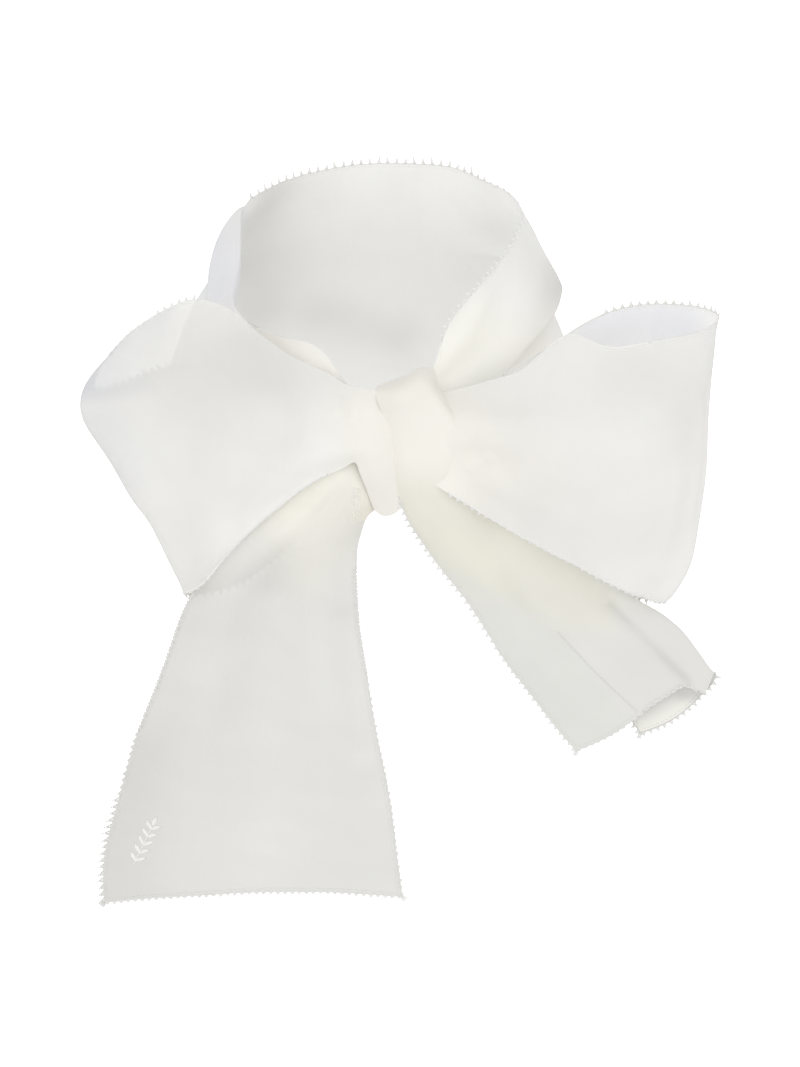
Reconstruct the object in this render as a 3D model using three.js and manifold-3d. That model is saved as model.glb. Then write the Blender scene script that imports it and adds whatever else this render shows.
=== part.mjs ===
// A sheer neck scarf: one long strip of crisp cloth, tied at the front of the neck in a wide bow.
// It keeps the form that it has when it is worn. Millimetres, +Z up, -Y to the front, +X to the
// viewer's right, and the origin in the middle of the neck hole.
//
// Each piece is a stretch of the strip: a smooth sheet through a few sections, given a thin wall.
import * as THREE from "three";
import { ConvexGeometry } from "three/addons/geometries/ConvexGeometry.js";
import { mergeVertices } from "three/addons/utils/BufferGeometryUtils.js";
import Module from "manifold-3d";

const wasm = await Module();
wasm.setup();

// Driving dimensions: the strip's full width, the wall that stands for the cloth, and the air
// that is kept between neighbours
const STRIP = 145;
const CLOTH = 1.2;
const GAP = 0.4;

// How finely each sheet is divided, along the strip and across it
const DIVISIONS = {
  neck_band: [42, 18],
  left_loop: [28, 12],
  right_loop: [30, 12],
  left_tail: [18, 12],
  right_tail: [26, 14],
};

// The gathers that fan out from the knot: how many folds lie side by side, how deep each is, and
// how far from the knot they have faded to a third
const GATHERS = {
  neck_band: { folds: 1.5, depth: 1, reach: 18 },
  left_loop: { folds: 2.5, depth: 1.8, reach: 34 },
  right_loop: { folds: 3, depth: 2.2, reach: 34 },
  left_tail: { folds: 2, depth: 1.5, reach: 30 },
  right_tail: { folds: 0, depth: 0, reach: 30 },
};

// Sections of the left loop, from the front of the knot round the outer turn and back behind it.
// Each section gives four points, from the top selvedge down to the bottom selvedge.
const LEFT_LOOP = {
  front_at_knot: [[-9, -64, -34], [-8, -66, -43], [-8, -66, -55], [-8, -63, -68]],
  front_near: [[-23, -66, -25], [-24, -77, -36], [-24, -79, -52], [-25, -72, -71]],
  front_third: [[-43, -65, -13], [-44, -89, -31], [-45, -92, -54], [-46, -80, -82]],
  front_half: [[-66, -58, -4], [-67, -92, -28], [-68, -99, -62], [-70, -84, -102]],
  front_far: [[-87, -50, 8], [-89, -80, -23], [-87, -90, -66], [-83, -82, -118]],
  shoulder: [[-108, -44, 1], [-114, -68, -31], [-104, -80, -75], [-92, -76, -125]],
  turn: [[-131, -38, -17], [-141, -55, -43], [-118, -66, -80], [-95, -68, -128]],
  back_turned: [[-137, -32, -36], [-133, -40, -56], [-112, -50, -87], [-94, -60, -131]],
  back_far: [[-111, -34, -27], [-107, -34, -56], [-94, -42, -88], [-82, -54, -131]],
  back_half: [[-77, -44, -23], [-75, -44, -51], [-69, -48, -82], [-60, -54, -121]],
  back_near: [[-44, -51, -29], [-43, -52, -47], [-41, -53, -71], [-38, -55, -100]],
  back_at_knot: [[-9, -56, -38], [-9, -56, -49], [-9, -56, -61], [-8, -57, -73]],
};

// Sections of the right loop, in the same order
const RIGHT_LOOP = {
  front_at_knot: [[26, -64, -37], [26, -67, -48], [26, -67, -61], [26, -64, -74]],
  front_near: [[48, -68, -27], [48, -80, -43], [47, -82, -61], [46, -74, -84]],
  front_third: [[69, -68, -17], [69, -90, -40], [70, -94, -68], [73, -80, -101]],
  front_peak: [[87, -62, -3], [88, -92, -35], [90, -98, -69], [92, -83, -110]],
  front_half: [[104, -74, -9], [107, -94, -37], [109, -98, -74], [112, -82, -121]],
  front_far: [[125, -74, -7], [130, -88, -34], [131, -92, -73], [124, -78, -127]],
  shoulder: [[147, -64, -5], [150, -72, -35], [147, -76, -80], [131, -70, -132]],
  turn: [[158, -50, -1], [155, -52, -40], [148, -58, -106], [133, -60, -134]],
  back_turned: [[151, -36, 4], [149, -36, -36], [143, -44, -88], [128, -50, -136]],
  back_far: [[128, -28, 5], [126, -28, -32], [120, -36, -85], [110, -44, -134]],
  back_half: [[104, -30, 0], [102, -32, -34], [95, -38, -80], [86, -46, -123]],
  back_third: [[85, -38, -10], [83, -42, -37], [76, -44, -71], [64, -48, -107]],
  back_near: [[56, -48, -26], [54, -50, -42], [49, -51, -64], [43, -53, -89]],
  back_at_knot: [[26, -55, -40], [26, -55, -51], [26, -55, -63], [26, -55, -75]],
};

// Sections of the left tail, from the knot down to its end, each from left selvedge to right
const LEFT_TAIL = {
  at_knot: [[-8, -60, -69], [-6, -60, -73], [-5, -60, -77], [-3, -60, -81], [-2, -60, -85]],
  gathered: [[-39, -66, -76], [-30, -68, -80], [-23, -66, -86], [-17, -68, -90], [-11, -66, -95]],
  opening: [[-74, -68, -104], [-57, -71, -106], [-41, -66, -111], [-26, -71, -111], [-12, -68, -114]],
  upper: [[-92, -70, -130], [-71, -75, -132], [-51, -67, -136], [-29, -74, -135], [-11, -69, -137]],
  middle: [[-105, -70, -164], [-79, -76, -164], [-54, -67, -169], [-29, -75, -167], [-7, -70, -168]],
  lower: [[-118, -69, -197], [-87, -74, -198], [-58, -66, -201], [-27, -74, -199], [-2, -70, -200]],
  low: [[-129, -67, -232], [-95, -71, -233], [-61, -65, -237], [-27, -71, -234], [4, -68, -233]],
  end: [[-135, -65, -286], [-99, -68, -281], [-62, -64, -280], [-26, -68, -278], [10, -66, -281]],
};

// Sections of the right tail, from behind the knot, over its right side and down to the end. The
// strip is folded lengthwise. front: three points on the front layer, from its selvedge inward.
// turn: a shallow channel and the fold. behind: two points on the layer at the back, the last one
// on the hidden selvedge.
const RIGHT_TAIL = {
  tucked_in: {
    front: [[1, -50, -37], [5, -50, -36], [9, -50, -36]],
    turn: [[13, -49, -36], [16, -48, -37]],
    behind: [[15, -46, -38], [13, -44, -39]],
  },
  over_top: {
    front: [[1, -54, -30], [6, -54, -27], [12, -53, -25]],
    turn: [[18, -52, -23], [23, -50, -24]],
    behind: [[22, -46, -27], [18, -44, -29]],
  },
  knot_top: {
    front: [[-2, -67, -30], [5, -71, -27], [12, -71, -23]],
    turn: [[20, -68, -21], [26, -60, -24]],
    behind: [[27, -53, -29], [25, -49, -32]],
  },
  knot_upper: {
    front: [[2, -73, -44], [8, -77, -43], [15, -78, -42]],
    turn: [[23, -74, -42], [29, -64, -44]],
    behind: [[29, -56, -48], [26, -51, -51]],
  },
  knot_lower: {
    front: [[5, -73, -62], [10, -77, -61], [17, -78, -60]],
    turn: [[25, -74, -60], [30, -65, -61]],
    behind: [[30, -58, -65], [28, -53, -68]],
  },
  knot_low: {
    front: [[8, -71, -80], [14, -74, -79], [22, -75, -78]],
    turn: [[29, -72, -77], [36, -66, -76]],
    behind: [[35, -61, -81], [30, -59, -84]],
  },
  gathered: {
    front: [[18, -70, -98], [27, -74, -95], [38, -73, -92]],
    turn: [[48, -71, -89], [57, -67, -86]],
    behind: [[55, -62, -92], [47, -61, -98]],
  },
  upper: {
    front: [[38, -71, -126], [50, -75, -120], [64, -72, -116]],
    turn: [[77, -72, -112], [89, -66, -108]],
    behind: [[85, -62, -116], [70, -62, -125]],
  },
  middle: {
    front: [[56, -71, -156], [71, -75, -148], [86, -72, -142]],
    turn: [[102, -72, -135], [117, -65, -128]],
    behind: [[110, -61, -138], [88, -62, -151]],
  },
  lower: {
    front: [[76, -70, -182], [91, -73, -174], [108, -70, -166]],
    turn: [[125, -70, -156], [141, -63, -148]],
    behind: [[131, -60, -160], [107, -61, -175]],
  },
  end: {
    front: [[94, -69, -205], [111, -71, -196], [128, -69, -185]],
    turn: [[146, -66, -174], [161, -62, -169]],
    behind: [[149, -58, -188], [125, -60, -201]],
  },
};

// The rim of the neck band, from the knot round the left side and the back to the knot again.
// flare: how far the cloth leans out, in degrees, above its tuck and below it. bow: how far the
// upper part rounds outward. drop: how far the band reaches down. turned: how much of the top is
// turned down outside. tuck: 1 where the lower part is tucked up behind the upper part, 0 where
// the band hangs smooth.
const NECK_BAND = {
  left_end: { x: -5, y: -47, z: -33, flare: 0, flareLow: 0, bow: 0, drop: 38, turned: 5, tuck: 0 },
  left_knot: { x: -17, y: -51, z: -26, flare: 0, flareLow: 0, bow: 0, drop: 45, turned: 8, tuck: 0 },
  left_front: { x: -28, y: -50, z: -15, flare: 0, flareLow: 0, bow: 0, drop: 58, turned: 9, tuck: 0 },
  left_third: { x: -46, y: -42, z: -9, flare: 3, flareLow: 2, bow: 0, drop: 68, turned: 10, tuck: 0 },
  left_half: { x: -61, y: -29, z: -6, flare: 8, flareLow: 6, bow: 1, drop: 76, turned: 11, tuck: 0 },
  left_dip: { x: -70, y: -12, z: 4, flare: 16, flareLow: 12, bow: 3, drop: 92, turned: 10, tuck: 0 },
  left_rise: { x: -68, y: 2, z: 23, flare: 22, flareLow: 18, bow: 4, drop: 112, turned: 9, tuck: 0 },
  left_side: { x: -67, y: 20, z: 44, flare: 26, flareLow: 20, bow: 4, drop: 134, turned: 3, tuck: 0 },
  back_left: { x: -49, y: 40, z: 52, flare: 22, flareLow: 20, bow: 2, drop: 142, turned: 0, tuck: 0 },
  back_mid_left: { x: -24, y: 51, z: 57, flare: 19, flareLow: 18, bow: 0, drop: STRIP, turned: 0, tuck: 0 },
  back: { x: 4, y: 54, z: 59, flare: 18, flareLow: 18, bow: 0, drop: STRIP, turned: 0, tuck: 0 },
  back_mid_right: { x: 31, y: 50, z: 58, flare: 20, flareLow: 18, bow: 0, drop: STRIP, turned: 0, tuck: 0 },
  back_right: { x: 53, y: 35, z: 52, flare: 26, flareLow: 18, bow: 0, drop: 142, turned: 0, tuck: 0.4 },
  right_side: { x: 66, y: 16, z: 44, flare: 30, flareLow: 18, bow: 0, drop: 132, turned: 0, tuck: 1 },
  right_drop: { x: 65, y: 0, z: 33, flare: 28, flareLow: 16, bow: 0, drop: 118, turned: 0, tuck: 1 },
  right_half: { x: 52, y: -22, z: 19, flare: 14, flareLow: 6, bow: 0, drop: 100, turned: 0, tuck: 0.8 },
  right_third: { x: 37, y: -38, z: 7, flare: 4, flareLow: 0, bow: 0, drop: 82, turned: 0, tuck: 0.5 },
  right_front: { x: 27, y: -47, z: -6, flare: 0, flareLow: 0, bow: 0, drop: 66, turned: 0, tuck: 0.2 },
  right_knot: { x: 21, y: -51, z: -21, flare: 0, flareLow: 0, bow: 0, drop: 50, turned: 0, tuck: 0 },
  right_end: { x: 11, y: -47, z: -31, flare: 0, flareLow: 0, bow: 0, drop: 40, turned: 0, tuck: 0 },
};

// Shape of each section of the band: the reach of its upper part, how near the top the cloth first
// bends, how far the tuck goes up and in, how much cloth it takes, and the turned edge's stand-off
const BAND_UPPER = 44;
const FIRST_BEND = 0.12;
const TUCK_RISE = 6;
const TUCK_INSET = 8;
const TUCK_SPREAD = 10;
const TURNED_GAP = 3;

// The wound core of the knot with its left lobe: round sections from the top to the bottom tip
const KNOT = {
  crown: { x: 3, y: -56, z: -30.5, halfWidth: 6, halfDepth: 5 },
  shoulder: { x: 3, y: -57, z: -33, halfWidth: 14, halfDepth: 10 },
  upper: { x: 3, y: -57, z: -46, halfWidth: 16.5, halfDepth: 14 },
  lower: { x: 4, y: -58, z: -63, halfWidth: 15.5, halfDepth: 14 },
  low: { x: 4, y: -60, z: -78, halfWidth: 10.5, halfDepth: 10 },
  tip: { x: 3.5, y: -61, z: -87, halfWidth: 5.5, halfDepth: 6 },
  point: { x: 3, y: -62, z: -91, halfWidth: 1.5, halfDepth: 2 },
};
const KNOT_DIVISIONS = [20, 24];

// The right tail is wound over the knot down to this height
const WRAP_FOOT = -70;

// Smooth curve through values that are given at rising knots
function naturalSpline(knots, values) {
  const last = knots.length - 1;
  const bend = new Array(last + 1).fill(0);
  const slope = new Array(last + 1).fill(0);
  for (let i = 1; i < last; i++) {
    const before = knots[i] - knots[i - 1];
    const after = knots[i + 1] - knots[i];
    const pivot = 2 * (before + after) - before * slope[i - 1];
    const rise = (values[i + 1] - values[i]) / after - (values[i] - values[i - 1]) / before;
    slope[i] = after / pivot;
    bend[i] = (6 * rise - before * bend[i - 1]) / pivot;
  }
  bend[last] = 0;
  for (let i = last - 1; i > 0; i--) {
    bend[i] -= slope[i] * bend[i + 1];
  }
  return (t) => {
    let i = 0;
    while (i < last - 1 && t > knots[i + 1]) {
      i += 1;
    }
    const span = knots[i + 1] - knots[i];
    const a = (knots[i + 1] - t) / span;
    const b = (t - knots[i]) / span;
    const curve = ((a ** 3 - a) * bend[i] + (b ** 3 - b) * bend[i + 1]) * span * span / 6;
    return a * values[i] + b * values[i + 1] + curve;
  };
}

// Smooth curve through points in space, from 0 at the first to 1 at the last
function splineCurve(knots, points) {
  const x = naturalSpline(knots, points.map((point) => point.x));
  const y = naturalSpline(knots, points.map((point) => point.y));
  const z = naturalSpline(knots, points.map((point) => point.z));
  return (t) => new THREE.Vector3(x(t), y(t), z(t));
}

// Knots from 0 to 1 that follow the mean distance from each line of points to the next
function meanKnots(lines) {
  const knots = [0];
  for (let i = 1; i < lines.length; i++) {
    let sum = 0;
    lines[i].forEach((point, j) => {
      sum += point.distanceTo(lines[i - 1][j]);
    });
    knots.push(knots[i - 1] + sum / lines[i].length);
  }
  const total = knots[knots.length - 1];
  return knots.map((knot) => knot / total);
}

const transpose = (lines) => lines[0].map((_, j) => lines.map((line) => line[j]));
const toPoints = (rows) => rows.map((row) => row.map(([x, y, z]) => new THREE.Vector3(x, y, z)));

// Grid of points on the smooth sheet through the sections
function sheetGrid(sections, [along, across]) {
  const alongKnots = meanKnots(sections);
  const acrossKnots = meanKnots(transpose(sections));
  const rails = transpose(sections).map((column) => splineCurve(alongKnots, column));
  const grid = [];
  for (let i = 0; i <= along; i++) {
    const section = splineCurve(acrossKnots, rails.map((rail) => rail(i / along)));
    const row = [];
    for (let j = 0; j <= across; j++) {
      row.push(section(j / across));
    }
    grid.push(row);
  }
  return grid;
}

// The sheet's normal at each point of its grid
function gridNormals(grid) {
  const lastRow = grid.length - 1;
  const lastColumn = grid[0].length - 1;
  return grid.map((row, i) => row.map((_, j) => {
    const ahead = grid[Math.min(i + 1, lastRow)][j];
    const behind = grid[Math.max(i - 1, 0)][j];
    const right = row[Math.min(j + 1, lastColumn)];
    const left = row[Math.max(j - 1, 0)];
    const alongStep = new THREE.Vector3().subVectors(ahead, behind);
    const acrossStep = new THREE.Vector3().subVectors(right, left);
    return alongStep.cross(acrossStep).normalize();
  }));
}

// Folds that run out from the knot: a wave across the sheet that fades along it
function gather(grid, { folds, depth, reach }, ends) {
  if (folds === 0) {
    return grid;
  }
  const normals = gridNormals(grid);
  const middle = Math.floor(grid[0].length / 2);
  return grid.map((row, i) => {
    const fade = Math.max(...ends.map((end) => {
      return Math.exp(-row[middle].distanceTo(grid[end][middle]) / reach);
    }));
    return row.map((point, j) => {
      const wave = Math.sin(2 * Math.PI * folds * j / (row.length - 1));
      return point.clone().addScaledVector(normals[i][j], depth * fade * wave);
    });
  });
}

// The same sheet with its border moved outward, past each of its four edges
function widened(grid, margin) {
  const lastRow = grid.length - 1;
  const lastColumn = grid[0].length - 1;
  const away = (point, from) => new THREE.Vector3().subVectors(point, from).setLength(margin);
  return grid.map((row, i) => row.map((point, j) => {
    const moved = point.clone();
    if (i === 0 || i === lastRow) {
      moved.add(away(point, grid[i === 0 ? 1 : lastRow - 1][j]));
    }
    if (j === 0 || j === lastColumn) {
      moved.add(away(point, row[j === 0 ? 1 : lastColumn - 1]));
    }
    return moved;
  }));
}

// Closed body with a wall of the given thickness about the sheet
function wallGeometry(grid, thickness) {
  const normals = gridNormals(grid);
  const rows = grid.length;
  const columns = grid[0].length;
  const lastRow = rows - 1;
  const lastColumn = columns - 1;
  const positions = [];
  for (const side of [1, -1]) {
    grid.forEach((row, i) => row.forEach((point, j) => {
      const moved = point.clone().addScaledVector(normals[i][j], side * thickness / 2);
      positions.push(moved.x, moved.y, moved.z);
    }));
  }
  const outer = (i, j) => i * columns + j;
  const inner = (i, j) => rows * columns + i * columns + j;
  const index = [];
  const quad = (a, b, c, d) => index.push(a, b, c, a, c, d);
  for (let i = 0; i < lastRow; i++) {
    for (let j = 0; j < lastColumn; j++) {
      quad(outer(i, j), outer(i + 1, j), outer(i + 1, j + 1), outer(i, j + 1));
      quad(inner(i, j), inner(i, j + 1), inner(i + 1, j + 1), inner(i + 1, j));
    }
    quad(outer(i, 0), inner(i, 0), inner(i + 1, 0), outer(i + 1, 0));
    const far = [outer(i, lastColumn), outer(i + 1, lastColumn)];
    quad(...far, inner(i + 1, lastColumn), inner(i, lastColumn));
  }
  for (let j = 0; j < lastColumn; j++) {
    quad(outer(0, j), outer(0, j + 1), inner(0, j + 1), inner(0, j));
    quad(outer(lastRow, j), inner(lastRow, j), inner(lastRow, j + 1), outer(lastRow, j + 1));
  }
  return closedGeometry(positions, index);
}

function closedGeometry(positions, index) {
  const geometry = new THREE.BufferGeometry();
  geometry.setAttribute("position", new THREE.Float32BufferAttribute(positions, 3));
  geometry.setIndex(index);
  return geometry;
}

// Points of each section of the neck band, from the top selvedge to the low one
function bandSections() {
  const rows = Object.values(NECK_BAND);
  return rows.map((row, i) => {
    const before = rows[Math.max(i - 1, 0)];
    const after = rows[Math.min(i + 1, rows.length - 1)];
    const outward = new THREE.Vector2(before.y - after.y, after.x - before.x).normalize();
    const lean = THREE.MathUtils.degToRad(row.flare);
    const leanLow = THREE.MathUtils.degToRad(row.flareLow);
    const upper = Math.min(BAND_UPPER, row.drop / 2);
    const rest = row.drop - upper - TUCK_SPREAD;
    const fold = [upper * Math.sin(lean), upper * Math.cos(lean)];
    const low = [rest * Math.sin(leanLow), rest * Math.cos(leanLow)];
    const smooth = [fold[0] + TUCK_SPREAD * Math.sin(lean), fold[1] + TUCK_SPREAD * Math.cos(lean)];
    const tucked = [fold[0] - TUCK_INSET, fold[1] - TUCK_RISE];
    const root = smooth.map((value, k) => THREE.MathUtils.lerp(value, tucked[k], row.tuck));
    const isTurned = row.turned > 0;
    const profile = [
      [isTurned ? TURNED_GAP : 0, row.turned],
      [FIRST_BEND * fold[0], isTurned ? 0 : FIRST_BEND * fold[1]],
      [fold[0] / 2 + row.bow, fold[1] / 2],
      fold,
      root,
      [root[0] + low[0] / 2, root[1] + low[1] / 2],
      [root[0] + low[0], root[1] + low[1]],
    ];
    return profile.map(([out, down]) => {
      return new THREE.Vector3(row.x + out * outward.x, row.y + out * outward.y, row.z - down);
    });
  });
}

// Closed round body through the knot's sections, grown by the given amount
function knotGeometry(grown) {
  const rows = Object.values(KNOT);
  const centres = rows.map((row) => new THREE.Vector3(row.x, row.y, row.z));
  const sizes = rows.map((row) => new THREE.Vector3(row.halfWidth, row.halfDepth, 0));
  const knots = meanKnots(centres.map((centre) => [centre]));
  const centreAt = splineCurve(knots, centres);
  const sizeAt = splineCurve(knots, sizes);
  const [down, round] = KNOT_DIVISIONS;
  const positions = [];
  const index = [];
  for (let i = 0; i <= down; i++) {
    const centre = centreAt(i / down);
    const size = sizeAt(i / down);
    const level = centre.z + grown * (1 - 2 * i / down);
    for (let j = 0; j < round; j++) {
      const angle = 2 * Math.PI * j / round;
      positions.push(centre.x + (size.x + grown) * Math.cos(angle));
      positions.push(centre.y + (size.y + grown) * Math.sin(angle));
      positions.push(level);
    }
  }
  for (let i = 0; i < down; i++) {
    for (let j = 0; j < round; j++) {
      const next = (j + 1) % round;
      const a = i * round + j;
      const b = i * round + next;
      index.push(a, a + round, b + round, a, b + round, b);
    }
  }
  const topCentre = positions.length / 3;
  positions.push(rows[0].x, rows[0].y, rows[0].z + grown);
  const lowCentre = topCentre + 1;
  const lowest = rows[rows.length - 1];
  positions.push(lowest.x, lowest.y, lowest.z - grown);
  for (let j = 0; j < round; j++) {
    const next = (j + 1) % round;
    index.push(topCentre, j, next);
    index.push(lowCentre, down * round + next, down * round + j);
  }
  return closedGeometry(positions, index);
}

function toSolid(geometry) {
  const mesh = new wasm.Mesh({
    numProp: 3,
    vertProperties: new Float32Array(geometry.getAttribute("position").array),
    triVerts: new Uint32Array(geometry.getIndex().array),
  });
  return new wasm.Manifold(mesh);
}

function toGeometry(solid) {
  const mesh = solid.getMesh();
  return closedGeometry(Array.from(mesh.vertProperties), Array.from(mesh.triVerts));
}

// The piece without what reaches into its neighbours, as one body
function clipped(solid, neighbours) {
  let rest = solid;
  for (const neighbour of neighbours) {
    rest = rest.subtract(neighbour);
  }
  const bodies = rest.decompose();
  return bodies.reduce((largest, body) => (body.volume() > largest.volume() ? body : largest));
}

const CLOTH_MATERIAL = {
  neck_band: new THREE.MeshStandardMaterial({ color: 0xe3e1d8, roughness: 0.75, metalness: 0 }),
  knot: new THREE.MeshStandardMaterial({ color: 0xf0eee1, roughness: 0.7, metalness: 0 }),
  left_loop: new THREE.MeshStandardMaterial({ color: 0xeeeee8, roughness: 0.7, metalness: 0 }),
  right_loop: new THREE.MeshStandardMaterial({ color: 0xefeee6, roughness: 0.7, metalness: 0 }),
  left_tail: new THREE.MeshStandardMaterial({ color: 0xe0e0da, roughness: 0.75, metalness: 0 }),
  right_tail: new THREE.MeshStandardMaterial({ color: 0xe1e0d8, roughness: 0.75, metalness: 0 }),
};

const scarf = new THREE.Group();
scarf.name = "neck_scarf";

function addPiece(name, geometry) {
  const mesh = new THREE.Mesh(geometry, CLOTH_MATERIAL[name]);
  mesh.name = name;
  scarf.add(mesh);
}

// The body of a sheet, and a thicker copy of it that keeps its neighbours at the gap
function sheetBodies(name, sections, gatheredEnds) {
  const flat = sheetGrid(sections, DIVISIONS[name]);
  const ends = gatheredEnds.map((end) => (end === "last" ? flat.length - 1 : 0));
  const grid = gather(flat, GATHERS[name], ends);
  const roomGeometry = wallGeometry(widened(grid, GAP), CLOTH + 2 * GAP);
  return {
    body: toSolid(wallGeometry(grid, CLOTH)),
    room: toSolid(roomGeometry),
    roomGeometry,
  };
}

// The rounded body that the right tail encloses where it is wound over the knot
function wrapBody(roomGeometry) {
  const position = roomGeometry.getAttribute("position");
  const points = [];
  for (let i = 0; i < position.count; i++) {
    if (position.getZ(i) > WRAP_FOOT) {
      points.push(new THREE.Vector3().fromBufferAttribute(position, i));
    }
  }
  const hull = new ConvexGeometry(points);
  hull.deleteAttribute("normal");
  return toSolid(mergeVertices(hull));
}

const knotRoom = toSolid(knotGeometry(GAP));
addPiece("knot", knotGeometry(0));

const rightTailRows = Object.values(RIGHT_TAIL).map((row) => [...row.front, ...row.turn, ...row.behind]);
const rightTail = sheetBodies("right_tail", toPoints(rightTailRows), ["first"]);
addPiece("right_tail", toGeometry(clipped(rightTail.body, [knotRoom])));
const wrapRoom = wrapBody(rightTail.roomGeometry);

const rightLoop = sheetBodies("right_loop", toPoints(Object.values(RIGHT_LOOP)), ["first", "last"]);
addPiece("right_loop", toGeometry(clipped(rightLoop.body, [knotRoom, wrapRoom, rightTail.room])));

const leftTail = sheetBodies("left_tail", toPoints(Object.values(LEFT_TAIL)), ["first"]);
addPiece("left_tail", toGeometry(clipped(leftTail.body, [knotRoom])));

const leftLoop = sheetBodies("left_loop", toPoints(Object.values(LEFT_LOOP)), ["first", "last"]);
addPiece("left_loop", toGeometry(clipped(leftLoop.body, [knotRoom, leftTail.room])));

const neckBand = sheetBodies("neck_band", bandSections(), ["first", "last"]);
const bandNeighbours = [knotRoom, wrapRoom, rightTail.room, rightLoop.room, leftLoop.room];
addPiece("neck_band", toGeometry(clipped(neckBand.body, bandNeighbours)));

export default scarf;
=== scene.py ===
"""A sheer neck scarf tied in a wide bow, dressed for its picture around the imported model.

The strip of cloth is drawn as fine smooth sheets through the same sections as the solids, with
gathers, folds and dents pressed into them. Every edge has a rolled hem with stitches and a row of
small thread loops. Tables are in millimetres, and the objects in metres.
"""
import math

import bpy
import numpy as np
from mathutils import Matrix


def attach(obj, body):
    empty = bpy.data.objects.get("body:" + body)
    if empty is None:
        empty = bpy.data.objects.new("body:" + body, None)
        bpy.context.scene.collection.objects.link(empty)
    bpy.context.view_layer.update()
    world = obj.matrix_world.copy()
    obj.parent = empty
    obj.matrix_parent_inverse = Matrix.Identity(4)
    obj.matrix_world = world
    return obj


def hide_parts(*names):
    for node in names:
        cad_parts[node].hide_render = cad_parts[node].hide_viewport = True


MM = 0.001
TINY = 1e-9
SEED = 7

# Sections of the left loop, from the crease of the knot, over its left lobe, round the outer turn
# and back behind the knot. Each gives four points, from the top selvedge to the bottom one.
LEFT_LOOP = {
    "in_crease": [(5, -72.6, -31), (8, -73.4, -49), (10, -73, -66), (13, -70.5, -80)],
    "lobe_inner": [(-2, -71.7, -28.3), (1, -74.2, -46), (4, -74.6, -66), (6, -70.2, -88)],
    "lobe_crest": [(-8.5, -68.5, -27.6), (-7, -75, -45), (-4.5, -76, -64), (-3, -68, -87)],
    "lobe_flank": [(-11.5, -67, -27.4), (-10.5, -74.5, -44), (-9, -76.2, -59), (-7.8, -72, -74)],
    "lobe_side": [(-13, -66, -27.5), (-12.2, -74.2, -42.5), (-11.2, -76.4, -56), (-10.9, -74.6, -65.5)],
    "notch": [(-14.4, -65, -27.2), (-14, -74, -41.5), (-13.2, -76.7, -54), (-12.4, -75.4, -61.8)],
    "notch_edge": [(-17.4, -63.5, -26.4), (-17, -74, -40), (-16.4, -77.4, -53), (-15.6, -75.9, -62.9)],
    "front_near": [(-24, -61, -22.5), (-26, -75, -37), (-27, -80, -53), (-26, -77, -68)],
    "front_third": [(-43, -57, -14.5), (-44, -85, -31), (-45, -92, -54), (-46, -82, -80)],
    "front_half": [(-65, -56, 3), (-67, -90, -27), (-68, -99, -62), (-70, -85, -101)],
    "front_far": [(-87, -50, 11), (-89, -80, -22), (-87, -90, -66), (-83, -82, -118)],
    "shoulder": [(-108, -44, 2.6), (-114, -68, -29), (-104, -80, -75), (-92, -76, -125)],
    "turn": [(-131, -38, -19), (-142, -55, -42), (-118, -66, -80), (-95, -68, -128)],
    "back_turned": [(-137, -32, -36), (-133, -40, -56), (-112, -50, -87), (-94, -60, -131)],
    "back_far": [(-111, -34, -27), (-107, -34, -56), (-94, -42, -88), (-82, -54, -131)],
    "back_half": [(-77, -44, -23), (-75, -44, -51), (-69, -48, -82), (-60, -54, -121)],
    "back_near": [(-44, -51, -29), (-43, -52, -47), (-41, -53, -71), (-38, -55, -100)],
    "back_at_knot": [(-9, -56, -38), (-9, -56, -49), (-9, -56, -61), (-8, -57, -73)],
}

# Sections of the right loop, from under the right lobe of the knot, in the same order
RIGHT_LOOP = {
    "under_lobe": [(16, -62, -32), (15, -74, -45), (15, -75, -60), (21, -76.2, -69.8)],
    "front_at_knot": [(31, -64, -30), (31, -78.6, -44), (31, -79, -61), (31, -79.3, -75.5)],
    "front_near": [(48, -64, -25.2), (48, -83, -42), (47, -84, -61), (46, -79, -85)],
    "front_third": [(69, -62, -18.6), (69, -90, -40), (70, -94, -68), (73, -80, -101)],
    "front_peak": [(87, -62, -3), (88, -92, -35), (90, -98, -69), (92, -83, -110)],
    "front_half": [(104, -74, -6), (107, -94, -37), (109, -98, -74), (112, -82, -121)],
    "front_far": [(125, -74, -4), (130, -88, -34), (131, -92, -73), (124, -78, -127)],
    "shoulder": [(147, -64, -2), (150, -72, -35), (147, -76, -80), (131, -70, -132)],
    "turn": [(159, -50, 3), (155, -52, -40), (149.5, -58, -108), (135.5, -60, -134)],
    "back_turned": [(151, -36, 5), (149, -36, -36), (143, -44, -88), (128, -50, -136)],
    "back_far": [(128, -28, 5), (126, -28, -32), (120, -36, -85), (110, -44, -134)],
    "back_half": [(104, -30, 0), (102, -32, -34), (95, -38, -80), (86, -46, -123)],
    "back_third": [(85, -38, -10), (83, -42, -37), (76, -44, -71), (64, -48, -107)],
    "back_near": [(56, -48, -26), (54, -50, -42), (49, -51, -64), (43, -53, -89)],
    "back_at_knot": [(26, -55, -40), (26, -55, -51), (26, -55, -63), (26, -55, -75)],
}

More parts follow.
